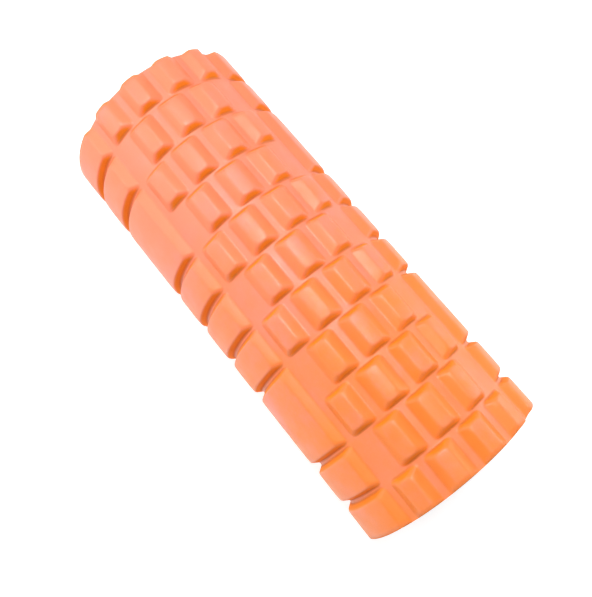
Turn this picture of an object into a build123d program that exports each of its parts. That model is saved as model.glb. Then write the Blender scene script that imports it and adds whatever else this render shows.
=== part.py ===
"""Textured foam roller: a moulded foam sleeve with raised blocks, glued round a hollow core tube."""
from build123d import *
import os
from math import cos, radians, sin

# The whole roller, in mm. It lies on Z = 0 with its axis along X, above the origin.
LENGTH = 330.0
OUTER_RADIUS = 70.0

# The core tube, and the foam sheet wrapped round it: a base layer with blocks that stand on it.
CORE_RADIUS = 55.0
CORE_WALL = 3.2
CORE_CHAMFER = 0.8
BLOCK_HEIGHT = 5.0
FLOOR_RADIUS = OUTER_RADIUS - BLOCK_HEIGHT

# Contact adhesive between the tube and the sleeve, stopping short of both ends.
ADHESIVE_THICKNESS = 0.3
ADHESIVE_SETBACK = 2.0
SLEEVE_BORE_RADIUS = CORE_RADIUS + ADHESIVE_THICKNESS

# The sheet's two long edges meet in a glued butt seam, in the lengthwise groove at this angle.
# Angles run round the axis from the top (+Z) towards +Y.
SEAM_ANGLE = 225.0
SEAM_GAP = 0.4

# Rows of blocks along the axis. The two end rows are cut short by the ends of the roller, where
# the blocks' end walls lean in by END_DRAFT over the block height.
ROW_COUNT = 11
ROW_PITCH = 30.7
END_DRAFT = 1.3

# Columns round the axis: two zones of small staggered blocks, at the top and the bottom, and
# between them two zones of wide blocks. Each zone is a quarter of the way round.
COLUMN_ANGLE = 22.5
ZONE_COLUMNS = 4
SMALL_BLOCK_ZONES = (0.0, 180.0)
WIDE_BLOCK_ZONES = (90.0, 270.0)
ROWS_SPANNED_BY_WIDE_BLOCKS = (1, 1, 2, 1, 1, 1, 2, 1, 1)

# Half widths of the grooves at their floor and at the block tops. The walls slope between them.
RING_GROOVE_FLOOR = 1.1
RING_GROOVE_TOP = 4.1
LONG_GROOVE_FLOOR = 2.5
LONG_GROOVE_TOP = 9.0

# How far block solids reach into the base layer, and their cutting outlines past the tops.
OVERLAP = 1.0
WIDE_OUTLINE_PEAK = 2.0 * OUTER_RADIUS


def row_edge(index):
    """X of the groove before row `index`, or of the roller's end at either end of the rows."""
    x = (index - ROW_COUNT / 2) * ROW_PITCH
    return max(-LENGTH / 2, min(LENGTH / 2, x))


def half_width(floor_half, top_half, radius):
    """Half width of a groove at a radius, on its straight sloping wall."""
    share = (radius - FLOOR_RADIUS) / BLOCK_HEIGHT
    return floor_half + share * (top_half - floor_half)


def round_axis(angle, radius, sideways=0.0):
    """(Y, Z) of a point at an angle round the axis, moved sideways along the tangent there."""
    a = radians(angle)
    return (radius * sin(a) + sideways * cos(a), radius * cos(a) - sideways * sin(a))


def tube(outer, inner, length):
    """A tube about the X axis, centred on the origin."""
    return extrude(Plane.YZ * (Circle(outer) - Circle(inner)), amount=length / 2, both=True)


def ring(first_row, row_total):
    """A ring with sloping sides that covers the given rows, from the base layer to the tops."""
    start = row_edge(first_row)
    end = row_edge(first_row + row_total)
    low = FLOOR_RADIUS - OVERLAP

    def inset(edge, radius):
        if abs(edge) >= LENGTH / 2:
            return half_width(0.0, END_DRAFT, radius)
        return half_width(RING_GROOVE_FLOOR, RING_GROOVE_TOP, radius)

    outline = [
        (start + inset(start, low), low),
        (start + inset(start, OUTER_RADIUS), OUTER_RADIUS),
        (end - inset(end, OUTER_RADIUS), OUTER_RADIUS),
        (end - inset(end, low), low),
    ]
    return revolve(Plane.XZ * make_face(Polyline(outline, close=True)), axis=Axis.X)


def block_outline(start_angle, end_angle):
    """The face, seen along the axis, between two lengthwise grooves with sloping walls."""
    low = FLOOR_RADIUS - OVERLAP
    high = OUTER_RADIUS + OVERLAP
    low_side = half_width(LONG_GROOVE_FLOOR, LONG_GROOVE_TOP, low)
    high_side = half_width(LONG_GROOVE_FLOOR, LONG_GROOVE_TOP, high)
    points = [
        round_axis(start_angle, low, low_side),
        round_axis(start_angle, high, high_side),
        round_axis(end_angle, high, -high_side),
        round_axis(end_angle, low, -low_side),
    ]
    if end_angle - start_angle > COLUMN_ANGLE:
        points.insert(2, round_axis((start_angle + end_angle) / 2, WIDE_OUTLINE_PEAK))
    return make_face(Polyline(points, close=True))


def blocks(first_row, row_total, angle_pairs):
    """The blocks of the given rows that lie between the given pairs of groove angles."""
    outlines = [Plane.YZ * block_outline(start, end) for start, end in angle_pairs]
    bars = [extrude(outline, amount=LENGTH / 2, both=True) for outline in outlines]
    band = ring(first_row, row_total)
    return [bar & band for bar in bars]


def small_blocks():
    """Staggered blocks: four across a zone in one row, three in the next, half a column over."""
    made = []
    for row in range(ROW_COUNT):
        across = ZONE_COLUMNS - row % 2
        first = -across / 2 * COLUMN_ANGLE
        starts = [zone + first + i * COLUMN_ANGLE for zone in SMALL_BLOCK_ZONES for i in range(across)]
        made += blocks(row, 1, [(start, start + COLUMN_ANGLE) for start in starts])
    return made


def wide_blocks():
    """Blocks a whole zone wide. Most cover one row, and some cover two."""
    made = []
    reach = ZONE_COLUMNS * COLUMN_ANGLE / 2
    pairs = [(zone - reach, zone + reach) for zone in WIDE_BLOCK_ZONES]
    row = 0
    for spanned in ROWS_SPANNED_BY_WIDE_BLOCKS:
        made += blocks(row, spanned, pairs)
        row += spanned
    return made


def seam_plate(top_radius, length):
    """A thin radial plate along the seam, from inside the sleeve's bore to the given radius."""
    bottom_radius = SLEEVE_BORE_RADIUS - OVERLAP
    height = top_radius - bottom_radius
    plate = Pos(0, 0, bottom_radius + height / 2) * Box(length, SEAM_GAP, height)
    return Rot(X=-SEAM_ANGLE) * plate


def foam_sleeve():
    """The moulded foam sheet, wrapped into a sleeve that is open only along its seam."""
    base = tube(FLOOR_RADIUS, SLEEVE_BORE_RADIUS, LENGTH)
    sleeve = base + small_blocks() + wide_blocks()
    return sleeve - seam_plate(OUTER_RADIUS, 2 * LENGTH)


def seam_adhesive():
    """The strip of glue that fills the sleeve's butt seam up to the groove floor."""
    return seam_plate(OUTER_RADIUS, LENGTH) & tube(FLOOR_RADIUS, SLEEVE_BORE_RADIUS, LENGTH)


def core_tube():
    """The hollow tube that carries the load, with its inner edges broken at both ends."""
    body = tube(CORE_RADIUS, CORE_RADIUS - CORE_WALL, LENGTH)
    inner_edges = body.edges().filter_by(GeomType.CIRCLE).group_by(SortBy.RADIUS)[0]
    return chamfer(inner_edges, CORE_CHAMFER)


def sleeve_adhesive():
    """The thin film of contact adhesive between the core tube and the sleeve."""
    return tube(SLEEVE_BORE_RADIUS, CORE_RADIUS, LENGTH - 2 * ADHESIVE_SETBACK)


NODES = {
    "foam_sleeve": foam_sleeve,
    "core_tube": core_tube,
    "sleeve_adhesive": sleeve_adhesive,
    "seam_adhesive": seam_adhesive,
}

os.makedirs("parts", exist_ok=True)
for name, make in NODES.items():
    export_step(Pos(0, 0, OUTER_RADIUS) * make(), f"parts/{name}.step")
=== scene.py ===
"""Looks for the textured foam roller.

The foam sleeve's finished mesh, the materials of all four pieces, the floor, the light and the camera.
"""
from math import asin, cos, pi, radians, sin

import bpy
import numpy as np
from mathutils import Matrix, Vector


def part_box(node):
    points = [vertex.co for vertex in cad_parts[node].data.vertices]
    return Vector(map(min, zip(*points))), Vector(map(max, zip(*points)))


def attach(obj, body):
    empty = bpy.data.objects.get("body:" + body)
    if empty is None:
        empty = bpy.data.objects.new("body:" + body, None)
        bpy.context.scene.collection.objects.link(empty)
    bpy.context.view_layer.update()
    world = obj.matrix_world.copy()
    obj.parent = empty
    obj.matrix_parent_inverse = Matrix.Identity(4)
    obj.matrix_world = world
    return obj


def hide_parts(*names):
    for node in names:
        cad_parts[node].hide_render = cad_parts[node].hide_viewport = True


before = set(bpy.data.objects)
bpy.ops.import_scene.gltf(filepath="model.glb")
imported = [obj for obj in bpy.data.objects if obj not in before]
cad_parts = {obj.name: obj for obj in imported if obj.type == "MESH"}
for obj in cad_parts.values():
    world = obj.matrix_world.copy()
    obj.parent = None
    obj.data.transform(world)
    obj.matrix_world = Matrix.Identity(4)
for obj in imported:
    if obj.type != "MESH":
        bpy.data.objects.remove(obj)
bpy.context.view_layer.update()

# The roller, from the frame, in metres. Its axis runs along X, AXIS_HEIGHT above the ground.
sleeve_low, sleeve_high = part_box("foam_sleeve")
LENGTH = sleeve_high.x - sleeve_low.x
OUTER_RADIUS = (sleeve_high.z - sleeve_low.z) / 2
AXIS_HEIGHT = (sleeve_high.z + sleeve_low.z) / 2
adhesive_low, adhesive_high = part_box("sleeve_adhesive")
BORE_CLEARANCE = 0.00005
BORE_RADIUS = (adhesive_high.z - adhesive_low.z) / 2 + BORE_CLEARANCE

# The block pattern, as the CAD sleeve has it.
BLOCK_HEIGHT = 0.005
FLOOR_RADIUS = OUTER_RADIUS - BLOCK_HEIGHT
ROW_COUNT = 11
ROW_PITCH = 0.0307
COLUMN_ANGLE = radians(22.5)
ZONE_COLUMNS = 4
SMALL_BLOCK_ZONES = (0.0, pi)
WIDE_BLOCK_ZONES = (pi / 2, 3 * pi / 2)
ROWS_SPANNED_BY_WIDE_BLOCKS = (1, 1, 2, 1, 1, 1, 2, 1, 1)
SEAM_ANGLE = radians(225)
SEAM_GAP = 0.0004

# Half widths of the grooves at their floor and at the block tops.
RING_GROOVE_FLOOR = 0.0011
RING_GROOVE_TOP = 0.0041
LONG_GROOVE_FLOOR = 0.0025
LONG_GROOVE_TOP = 0.009

# How far the end blocks' outer walls lean in, and how wide the other walls are, along and round.
END_DRAFT = 0.0013
RING_WALL = RING_GROOVE_TOP - RING_GROOVE_FLOOR
LONG_GROOVE_TOP_ANGLE = asin(LONG_GROOVE_TOP / OUTER_RADIUS)
LONG_WALL_ANGLE = LONG_GROOVE_TOP_ANGLE - asin(LONG_GROOVE_FLOOR / FLOOR_RADIUS)

# The moulded shape's softness, in shares of a wall's width: how far the corner between two walls of
# a block is rounded, then its top edge and its foot, and how far in from the edge the crown rises.
HIP_ROUNDING = 0.75
EDGE_ROUNDING = 0.1
FLOOR_ROUNDING = 0.14
CROWN_REACH = 0.5

# How much lower a block's top is at its edge than in its middle, and how deep the slow waves are.
CROWN = 0.0003
UNEVENNESS = 0.00018

# The slow waves: how many go round the axis, how many along it, and where each starts.
WAVES = ((3, 7.1, 0.4), (5, -4.3, 1.9), (8, 11.7, 3.1), (13, -17.9, 5.3), (21, 23.3, 0.8))

# Mesh spacing: fine across the walls of the blocks, coarse on what is smooth.
FINE_X = 0.00064
COARSE_X = 0.003
FINE_X_REACH = RING_GROOVE_TOP + 0.001
FINE_ANGLE = radians(0.76)
COARSE_ANGLE = radians(2.0)
FINE_ANGLE_REACH = radians(56)
END_WALL_STEPS = 6
END_FACE_STEPS = 5
BORE_STEPS = 8
SHARP_ANGLE = radians(62)

# Room for rounding errors when a stretch is divided into whole steps.
STEP_SLACK = 0.01

# A distance down a wall that is past every wall's foot.
BEYOND_WALLS = 9.0

# How strongly a bend of the surface, in 1/m, shows in the "bend" attribute.
BEND_SCALE = 0.0012


def stations(start, end, spots, reach, fine, coarse):
    """Places from start to end, `fine` apart within reach of each spot and `coarse` apart elsewhere."""
    cuts = [start]
    for spot in spots:
        cuts += [max(start, spot - reach), min(end, spot + reach)]
    cuts.append(end)
    places = [start]
    for i, (low, high) in enumerate(zip(cuts[:-1], cuts[1:])):
        spacing = fine if i % 2 else coarse
        count = int(np.ceil((high - low) / spacing - STEP_SLACK))
        places.extend(low + (high - low) * (k + 1) / count for k in range(count))
    return np.array(places)


def soft_ramp(x, rounding):
    """max(x, 0) with its corner rounded over `rounding` to each side."""
    return np.where(x > rounding, x, np.maximum(x + rounding, 0) ** 2 / (4 * rounding))


def row_edge(index):
    """X of the groove before a row. At both ends the rows go on past the end of the roller."""
    edge = (index - ROW_COUNT / 2) * ROW_PITCH
    return edge + LENGTH * ((index == ROW_COUNT) - (index == 0))


def block_places():
    """(first row edge, last row edge, start angle, end angle) of every block's surrounding grooves."""
    places = []
    for row in range(ROW_COUNT):
        across = ZONE_COLUMNS - row % 2
        for zone in SMALL_BLOCK_ZONES:
            for i in range(across):
                start = zone + (i - across / 2) * COLUMN_ANGLE
                places.append((row_edge(row), row_edge(row + 1), start, start + COLUMN_ANGLE))
    reach = ZONE_COLUMNS * COLUMN_ANGLE / 2
    row = 0
    for spanned in ROWS_SPANNED_BY_WIDE_BLOCKS:
        for zone in WIDE_BLOCK_ZONES:
            places.append((row_edge(row), row_edge(row + spanned), zone - reach, zone + reach))
        row += spanned
    return places


def wall_distance(angles, xs):
    """How far each point is down the nearest block's wall: 0 at the edge of its top, 1 at its foot."""
    nearest = np.full((len(angles), len(xs)), BEYOND_WALLS)
    for x_start, x_end, start, end in block_places():
        top_half_x = (x_end - x_start) / 2 - RING_GROOVE_TOP
        top_half_angle = (end - start) / 2 - LONG_GROOVE_TOP_ANGLE
        turn = (angles - (start + end) / 2 + pi) % (2 * pi) - pi
        across = (np.abs(turn) - top_half_angle) / LONG_WALL_ANGLE
        along = (np.abs(xs - (x_start + x_end) / 2) - top_half_x) / RING_WALL
        a, b = np.meshgrid(across, along, indexing="ij")
        hip = np.maximum(HIP_ROUNDING - np.abs(a - b), 0) ** 2 / (4 * HIP_ROUNDING)
        nearest = np.minimum(nearest, np.maximum(a, b) + hip)
    return nearest


def unevenness(angles, xs):
    """The slow waves that moulded foam has, from 0 to 1."""
    a, x = np.meshgrid(angles, xs / LENGTH, indexing="ij")
    total = sum(np.sin(n * a + 2 * pi * m * x + phase) for n, m, phase in WAVES)
    return 0.5 + total / (2 * len(WAVES))


def wall_profile(down):
    """How deep a wall's surface lies, 0 to 1, at each distance down the wall."""
    return np.clip(soft_ramp(down, EDGE_ROUNDING) - soft_ramp(down - 1, FLOOR_ROUNDING), 0, 1)


def sleeve_surface(angles, xs):
    """The radius of the sleeve's outer surface on a grid of angles and places along X."""
    down = wall_distance(angles, xs)
    depth = wall_profile(down)
    crown = CROWN * np.exp(np.minimum(down, 0) / CROWN_REACH)
    radius = OUTER_RADIUS - depth * BLOCK_HEIGHT - (1 - depth) * crown
    return radius - UNEVENNESS * unevenness(angles, xs)


def surface_form(radius, angles, xs):
    """How steep the surface is, 0 flat to 1 upright, and how it bends, 0 at edges to 1 in creases."""
    around = np.gradient(radius, angles, axis=0) / OUTER_RADIUS
    along = np.gradient(radius, xs, axis=1)
    bend = np.gradient(around, angles, axis=0) / OUTER_RADIUS + np.gradient(along, xs, axis=1)
    steepness = np.arctan(np.hypot(around, along)) / (pi / 2)
    return steepness, 0.5 + 0.5 * np.tanh(bend * BEND_SCALE)


def outer_surface(angles):
    """Places along X and the radius on the grid, from the foot of one end's wall to the other's."""
    half = LENGTH / 2
    grooves = [row_edge(i) for i in range(1, ROW_COUNT)]
    down = np.linspace(-EDGE_ROUNDING, 1, END_WALL_STEPS + 1)
    end_xs = half - END_DRAFT * (1 - down)
    xs = stations(-end_xs[0], end_xs[0], grooves, FINE_X_REACH, FINE_X, COARSE_X)
    radius = sleeve_surface(angles, xs)

    def end_wall(rim):
        drop = np.clip(soft_ramp(down[1:], EDGE_ROUNDING), 0, 1)
        foot = np.minimum(rim, FLOOR_RADIUS)
        return rim[:, None] + (foot - rim)[:, None] * drop

    far = end_wall(radius[:, 0])[:, ::-1]
    near = end_wall(radius[:, -1])
    return np.concatenate([-end_xs[:0:-1], xs, end_xs[1:]]), np.hstack([far, radius, near])


def inner_rings(angles, near_rim, far_rim):
    """Places along X and radii of the rings down the near end, through the bore and up the far end."""
    half = LENGTH / 2
    shares = np.arange(1, END_FACE_STEPS + 1) / END_FACE_STEPS
    near = near_rim[:, None] + (BORE_RADIUS - near_rim)[:, None] * shares
    far = (far_rim[:, None] + (BORE_RADIUS - far_rim)[:, None] * shares)[:, ::-1]
    bore_xs = half - LENGTH * np.arange(1, BORE_STEPS) / BORE_STEPS
    bore = np.full((len(angles), len(bore_xs)), BORE_RADIUS)
    xs = np.concatenate([np.full(END_FACE_STEPS, half), bore_xs, np.full(END_FACE_STEPS, -half)])
    return xs, np.hstack([near, bore, far])


def sleeve_faces(ring_count, column_count, skin_count):
    """The grid's faces and the seam's two caps, with each one's material: 0 skin, 1 trimmed foam."""
    faces = []
    finishes = []
    for i in range(ring_count):
        j = (i + 1) % ring_count
        for k in range(column_count - 1):
            low = i * column_count + k
            high = j * column_count + k
            faces.append((low, low + 1, high + 1, high))
            finishes.append(0 if i < skin_count - 1 else 1)
    first_edge = [i * column_count for i in range(ring_count)]
    faces.append(first_edge)
    faces.append([low + column_count - 1 for low in reversed(first_edge)])
    return faces, finishes + [1, 1]


def make_foam_sleeve():
    """The moulded sleeve as one closed mesh, open only along its butt seam."""
    gap_angle = SEAM_GAP / 2 / FLOOR_RADIUS
    first_angle = SEAM_ANGLE - 2 * pi + gap_angle
    last_angle = SEAM_ANGLE - gap_angle
    zones = [zone - turn for zone in SMALL_BLOCK_ZONES for turn in (2 * pi, 0)]
    zones = sorted(zone for zone in zones if first_angle < zone < last_angle)
    angles = stations(first_angle, last_angle, zones, FINE_ANGLE_REACH, FINE_ANGLE, COARSE_ANGLE)
    outer_xs, outer = outer_surface(angles)
    steepness, bend = surface_form(outer, angles, outer_xs)
    inner_xs, inner = inner_rings(angles, outer[:, -1], outer[:, 0])
    xs = np.concatenate([outer_xs, inner_xs])
    radius = np.hstack([outer, inner])

    points = np.zeros((len(xs), len(angles), 3))
    points[..., 0] = xs[:, None]
    points[..., 1] = (radius * np.sin(angles)[:, None]).T
    points[..., 2] = (AXIS_HEIGHT + radius * np.cos(angles)[:, None]).T
    faces, finishes = sleeve_faces(len(xs), len(angles), len(outer_xs))
    mesh = bpy.data.meshes.new("foam_sleeve_moulded")
    mesh.from_pydata(points.reshape(-1, 3).tolist(), [], faces)
    mesh.polygons.foreach_set("material_index", finishes)
    depth = (OUTER_RADIUS - outer) / BLOCK_HEIGHT
    forms = {"depth": (depth, 0.5), "steepness": (steepness, 0.0), "bend": (bend, 0.5)}
    for name, (values, inside) in forms.items():
        full = np.hstack([values, np.full(inner.shape, inside)]).T
        attribute = mesh.attributes.new(name, "FLOAT", "POINT")
        attribute.data.foreach_set("value", full.ravel().astype(np.float32))
    mesh.shade_smooth()
    mesh.set_sharp_from_angle(angle=SHARP_ANGLE)
    mesh.validate()
    sleeve = bpy.data.objects.new("foam_sleeve_moulded", mesh)
    bpy.context.scene.collection.objects.link(sleeve)
    return sleeve


# The Mix node's factor, two colours and result, among its sockets for every kind of data.
MIX_SOCKETS = (0, 6, 7)
MIX_RESULT = 2


class Shader:
    """A node material in the making."""

    def __init__(self, name):
        self.material = bpy.data.materials.new(name)
        self.material.use_nodes = True
        self.nodes = self.material.node_tree.nodes
        self.links = self.material.node_tree.links
        self.surface = self.nodes["Principled BSDF"]
        self.place = self.nodes.new("ShaderNodeTexCoord").outputs["Object"]

    def link(self, source, target):
        self.links.new(source, target)

    def noise(self, scale, detail=3.0, roughness=0.5, place=None):
        node = self.nodes.new("ShaderNodeTexNoise")
        node.inputs["Scale"].default_value = scale
        node.inputs["Detail"].default_value = detail
        node.inputs["Roughness"].default_value = roughness
        self.link(place or self.place, node.inputs["Vector"])
        return node.outputs["Fac"]

    def cells(self, scale, place=None):
        node = self.nodes.new("ShaderNodeTexVoronoi")
        node.feature = "SMOOTH_F1"
        node.inputs["Scale"].default_value = scale
        node.inputs["Smoothness"].default_value = 0.6
        self.link(place or self.place, node.inputs["Vector"])
        return node.outputs["Distance"]

    def stretched(self, scale):
        node = self.nodes.new("ShaderNodeMapping")
        node.inputs["Scale"].default_value = scale
        self.link(self.place, node.inputs["Vector"])
        return node.outputs["Vector"]

    def along_axis(self):
        node = self.nodes.new("ShaderNodeSeparateXYZ")
        self.link(self.place, node.inputs["Vector"])
        return node.outputs["X"]

    def attribute(self, name):
        node = self.nodes.new("ShaderNodeAttribute")
        node.attribute_name = name
        return node.outputs["Fac"]

    def ramp(self, source, stops):
        """A colour or grey ramp. Each stop is (place, colour)."""
        node = self.nodes.new("ShaderNodeValToRGB")
        elements = node.color_ramp.elements
        while len(elements) < len(stops):
            elements.new(0.5)
        for element, (place, colour) in zip(elements, stops):
            element.position = place
            rgb = colour if isinstance(colour, tuple) else (colour,) * 3
            element.color = (*rgb, 1)
        self.link(source, node.inputs["Fac"])
        return node.outputs["Color"]

    def math(self, operation, a, b):
        node = self.nodes.new("ShaderNodeMath")
        node.operation = operation
        for socket, value in zip(node.inputs, (a, b)):
            if isinstance(value, (int, float)):
                socket.default_value = value
            else:
                self.link(value, socket)
        return node.outputs["Value"]

    def mix(self, share, a, b, blend="MIX"):
        node = self.nodes.new("ShaderNodeMix")
        node.data_type = "RGBA"
        node.blend_type = blend
        sockets = [node.inputs[i] for i in MIX_SOCKETS]
        for socket, value in zip(sockets, (share, a, b)):
            if isinstance(value, tuple):
                socket.default_value = (*value, 1)
            elif isinstance(value, (int, float)):
                socket.default_value = value
            else:
                self.link(value, socket)
        return node.outputs[MIX_RESULT]

    def bump(self, height, distance, strength=1.0, under=None):
        node = self.nodes.new("ShaderNodeBump")
        node.inputs["Strength"].default_value = strength
        node.inputs["Distance"].default_value = distance
        self.link(height, node.inputs["Height"])
        if under is not None:
            self.link(under, node.inputs["Normal"])
        return node.outputs["Normal"]

    def set(self, **values):
        for name, value in values.items():
            socket = self.surface.inputs[name.replace("_", " ")]
            if isinstance(value, tuple):
                socket.default_value = (*value, 1) if len(value) == 3 and socket.type == "RGBA" else value
            elif isinstance(value, (int, float)):
                socket.default_value = value
            else:
                self.link(value, socket)


FOAM_ORANGE = (0.95, 0.235, 0.026)
# Painted shade on the steep walls, and also one of the cut foam's random tones.
FOAM_DEEP_SHADE_AND_TONE = (0.95, 0.24, 0.004)
# Painted highlight on the blocks' tops.
FOAM_CORAL_PAINTED_HIGHLIGHT = (0.95, 0.245, 0.07)
# Painted highlight on the tops and groove floors. Also the paler colour along the convex top edges, and one
# of the cut foam's random tones.
FOAM_PALE_HIGHLIGHT_AND_TONE = (0.95, 0.265, 0.165)
# Painted highlight towards the far end.
FOAM_PAINTED_FAR_HIGHLIGHT = (0.95, 0.255, 0.18)
# Painted shade in the creases and on the steepest walls at the ends.
FOAM_PAINTED_DARK_SHADE = (0.60, 0.14, 0.008)

# How fast a painted highlight gives way to painted shade along the axis, per metre. The painted highlight
# is palest at the far end, at -X.
PAINTED_LIGHT_ALONG_X = -5.0


def foam_skin():
    """Moulded EVA foam: a fine pebble grain, with a painted coral highlight on the blocks' tops and floors
    and painted deep orange shade on their walls.
    """
    shader = Shader("moulded_foam_skin")
    mottling = shader.noise(26, detail=5, roughness=0.65)
    speckle = shader.noise(1400, detail=2)
    steepness = shader.attribute("steepness")
    bend = shader.attribute("bend")
    depth = shader.attribute("depth")

    # Painted highlight: mottled coral and pale on the tops and paler still on the groove floors, with plain
    # orange on the slopes between them.
    face = shader.ramp(mottling, [(0.36, FOAM_ORANGE), (0.5, FOAM_CORAL_PAINTED_HIGHLIGHT), (0.66, FOAM_PALE_HIGHLIGHT_AND_TONE)])
    face = shader.mix(0.75, FOAM_CORAL_PAINTED_HIGHLIGHT, face)
    face = shader.mix(shader.ramp(depth, [(0.8, 0.0), (1.0, 0.3)]), face, FOAM_PALE_HIGHLIGHT_AND_TONE)
    colour = shader.mix(shader.ramp(steepness, [(0.1, 0.0), (0.42, 1.0)]), face, FOAM_ORANGE)

    # Painted light along the axis: a pale painted highlight towards the far end and more orange painted
    # shade towards the near one.
    painted_far_highlight = shader.math("ADD", shader.math("MULTIPLY", shader.along_axis(), PAINTED_LIGHT_ALONG_X), mottling)
    colour = shader.mix(shader.ramp(painted_far_highlight, [(0.0, 0.0), (0.8, 0.55)]), colour, FOAM_PAINTED_FAR_HIGHLIGHT)
    painted_near_shade = shader.math("SUBTRACT", 1.0, painted_far_highlight)
    colour = shader.mix(shader.ramp(painted_near_shade, [(0.6, 0.0), (1.0, 0.3)]), colour, FOAM_ORANGE)

    # Painted shade: deep orange on steep walls, darker still in creases and on the steepest walls at the
    # ends. Then paler along the convex top edges.
    colour = shader.mix(shader.ramp(steepness, [(0.46, 0.0), (0.62, 1.0)]), colour, FOAM_DEEP_SHADE_AND_TONE)
    colour = shader.mix(shader.ramp(bend, [(0.6, 0.0), (0.9, 0.7)]), colour, FOAM_PAINTED_DARK_SHADE)
    colour = shader.mix(shader.ramp(steepness, [(0.72, 0.0), (0.82, 0.8)]), colour, FOAM_PAINTED_DARK_SHADE)
    colour = shader.mix(shader.ramp(bend, [(0.05, 0.25), (0.4, 0.0)]), colour, FOAM_PALE_HIGHLIGHT_AND_TONE)
    colour = shader.mix(0.12, colour, shader.ramp(speckle, [(0.35, 0.55), (0.65, 1.0)]), "MULTIPLY")

    # The moulded grain, and a gloss that varies on the tops and is gone on the walls.
    grain = shader.cells(1250)
    fine = shader.noise(2600, detail=2)
    wide = shader.noise(160, detail=3)
    normal = shader.bump(grain, 0.00012, 0.35)
    normal = shader.bump(fine, 0.00006, 0.35, normal)
    normal = shader.bump(wide, 0.0009, 0.12, normal)
    rough = shader.ramp(shader.noise(90, detail=3), [(0.3, 0.42), (0.7, 0.54)])
    rough = shader.mix(shader.ramp(steepness, [(0.44, 0.0), (0.62, 1.0)]), rough, (0.95, 0.95, 0.95))
    shader.set(
        Base_Color=colour,
        Roughness=rough,
        Normal=normal,
        Specular_IOR_Level=0.5,
        Sheen_Weight=0.02,
        Sheen_Roughness=0.5,
        Sheen_Tint=(1.0, 0.86, 0.8),
        Subsurface_Weight=0.08,
        Subsurface_Radius=(1.0, 0.35, 0.12),
        Subsurface_Scale=0.002,
    )
    return shader.material


def foam_cut():
    """Trimmed EVA foam at the ends and in the seam: open cells, so rougher than the skin."""
    shader = Shader("trimmed_foam")
    pores = shader.cells(900)
    crumbs = shader.noise(500, detail=4, roughness=0.7)
    colour = shader.ramp(crumbs, [(0.3, FOAM_DEEP_SHADE_AND_TONE), (0.55, FOAM_ORANGE), (0.75, FOAM_PALE_HIGHLIGHT_AND_TONE)])
    normal = shader.bump(pores, 0.0004, 0.5)
    normal = shader.bump(crumbs, 0.0006, 0.3, normal)
    shader.set(
        Base_Color=colour,
        Roughness=0.8,
        Normal=normal,
        Sheen_Weight=0.2,
        Sheen_Roughness=0.6,
    )
    return shader.material


def core_plastic():
    """Extruded black pipe: faint lines along it, satin, with dusty scuffs."""
    shader = Shader("black_pipe")
    lines = shader.noise(1.0, detail=3, place=shader.stretched((6, 900, 900)))
    scuffs = shader.noise(120, detail=6, roughness=0.7)
    black, worn, dusty = (0.016, 0.016, 0.018), (0.026, 0.026, 0.028), (0.06, 0.058, 0.056)
    colour = shader.ramp(scuffs, [(0.35, black), (0.62, worn), (0.8, dusty)])
    rough = shader.ramp(scuffs, [(0.35, 0.34), (0.75, 0.58)])
    normal = shader.bump(lines, 0.0002, 0.35)
    shader.set(Base_Color=colour, Roughness=rough, Normal=normal, Specular_IOR_Level=0.5)
    return shader.material


def dried_adhesive():
    """Dried contact adhesive: amber, slightly lumpy and glossy."""
    shader = Shader("dried_adhesive")
    lumps = shader.noise(700, detail=3)
    colour = shader.ramp(lumps, [(0.35, (0.5, 0.27, 0.09)), (0.65, (0.74, 0.46, 0.2))])
    normal = shader.bump(lumps, 0.0003, 0.5)
    shader.set(Base_Color=colour, Roughness=0.38, Normal=normal)
    return shader.material


def paper_floor():
    """A pale floor that glows a little, so that shadows stay faint, with a paper tooth."""
    shader = Shader("pale_floor")
    tooth = shader.noise(420, detail=4)
    clouds = shader.noise(3, detail=2)
    colour = shader.ramp(clouds, [(0.3, 0.46), (0.7, 0.48)])
    normal = shader.bump(tooth, 0.0002, 0.1)
    shader.set(
        Base_Color=colour,
        Roughness=0.75,
        Normal=normal,
        Specular_IOR_Level=0.2,
        Emission_Color=(1.0, 1.0, 1.0),
        Emission_Strength=0.78,
    )
    return shader.material


def dress_node(name, material):
    """Gives a CAD node that keeps its shape a better material."""
    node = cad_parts[name]
    node.data.materials.clear()
    node.data.materials.append(material)


FLOOR_DISC_RADIUS = 4.0
FLOOR_DISC_CORNERS = 96


def make_floor():
    """A wide round floor under the roller."""
    turns = [2 * pi * i / FLOOR_DISC_CORNERS for i in range(FLOOR_DISC_CORNERS)]
    rim = [(FLOOR_DISC_RADIUS * cos(turn), FLOOR_DISC_RADIUS * sin(turn), 0) for turn in turns]
    mesh = bpy.data.meshes.new("floor")
    mesh.from_pydata(rim, [], [list(range(FLOOR_DISC_CORNERS))])
    floor = bpy.data.objects.new("floor", mesh)
    mesh.materials.append(paper_floor())
    bpy.context.scene.collection.objects.link(floor)


CENTRE = Vector((0, 0, AXIS_HEIGHT))
CAMERA_PLACE = Vector((0.0902, -0.0991, 0.4954))
CAMERA_AIM = Vector((0.0079, -0.0053, 0.0673))
CAMERA_ROLL = radians(10.03)
CAMERA_LENS = 37.38
CAMERA_SENSOR = 36


def make_camera():
    """The camera, close above the roller and turned so that the roller lies across the picture."""
    data = bpy.data.cameras.new("camera")
    data.lens = CAMERA_LENS
    data.sensor_width = CAMERA_SENSOR
    camera = bpy.data.objects.new("camera", data)
    look = (CAMERA_AIM - CAMERA_PLACE).to_track_quat("-Z", "Y").to_matrix().to_4x4()
    camera.matrix_world = Matrix.Translation(CAMERA_PLACE) @ look @ Matrix.Rotation(CAMERA_ROLL, 4, "Z")
    bpy.context.scene.collection.objects.link(camera)
    bpy.context.scene.camera = camera


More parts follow.
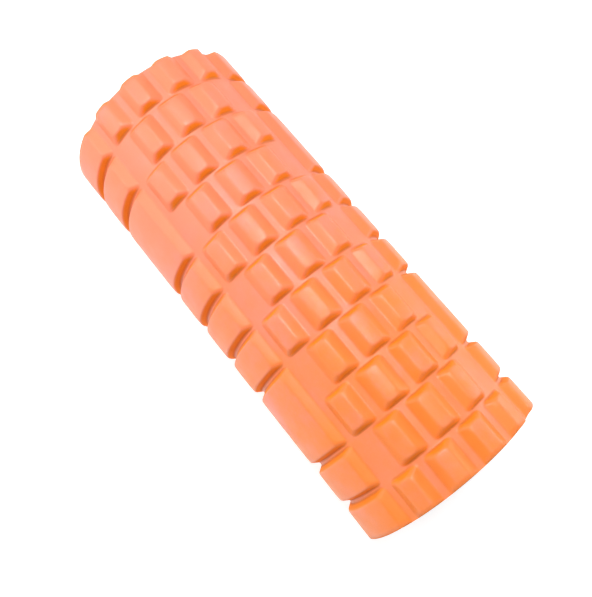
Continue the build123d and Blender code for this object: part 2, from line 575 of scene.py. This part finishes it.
# The soft boxes: direction from the roller, distance and size in metres, and power in watts.
SOFT_BOXES = {
    "overhead_soft_box": ((-0.22, 0.0, 1.0), 2.0, 0.5, 33.5),
    "left_soft_box": ((-0.7, -0.75, 0.75), 0.7, 0.25, 1.3),
    "right_soft_box": ((0.35, 1.0, 0.4), 0.65, 0.25, 1.1),
}

# The room's grey at the horizon and overhead, and how far up the sky it stops changing, 0 to 1.
HORIZON_GREY = 0.9
OVERHEAD_GREY = 0.2
GREY_REACH = 0.45


def soft_box(name, direction, distance, size, power):
    """A square soft light at a distance from the roller, facing it."""
    data = bpy.data.lights.new(name, "AREA")
    data.shape = "SQUARE"
    data.size = size
    data.energy = power
    light = bpy.data.objects.new(name, data)
    place = CENTRE + Vector(direction).normalized() * distance
    look = (CENTRE - place).to_track_quat("-Z", "Y").to_matrix().to_4x4()
    light.matrix_world = Matrix.Translation(place) @ look
    bpy.context.scene.collection.objects.link(light)


def make_room():
    """A plain room that is brightest near the horizon."""
    world = bpy.data.worlds.new("studio")
    world.use_nodes = True
    nodes = world.node_tree.nodes
    link = world.node_tree.links.new
    split = nodes.new("ShaderNodeSeparateXYZ")
    height = nodes.new("ShaderNodeValToRGB")
    place = nodes.new("ShaderNodeTexCoord")
    link(place.outputs["Generated"], split.inputs["Vector"])
    link(split.outputs["Z"], height.inputs["Fac"])
    link(height.outputs["Color"], nodes["Background"].inputs["Color"])
    height.color_ramp.interpolation = "EASE"
    stops = ((0.0, HORIZON_GREY), (GREY_REACH, OVERHEAD_GREY))
    for element, (position, grey) in zip(height.color_ramp.elements, stops):
        element.position = position
        element.color = (grey, grey, grey, 1)
    bpy.context.scene.world = world


def make_light():
    """Soft boxes above and on both sides, and colours shown as they are, with no film look."""
    for name, (direction, distance, size, power) in SOFT_BOXES.items():
        soft_box(name, direction, distance, size, power)
    bpy.context.scene.view_settings.view_transform = "Standard"


sleeve = make_foam_sleeve()
sleeve.data.materials.append(foam_skin())
sleeve.data.materials.append(foam_cut())
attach(sleeve, "root")
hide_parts("foam_sleeve")
dress_node("core_tube", core_plastic())
dress_node("sleeve_adhesive", dried_adhesive())
dress_node("seam_adhesive", dried_adhesive())
make_floor()
make_camera()
make_room()
make_light()
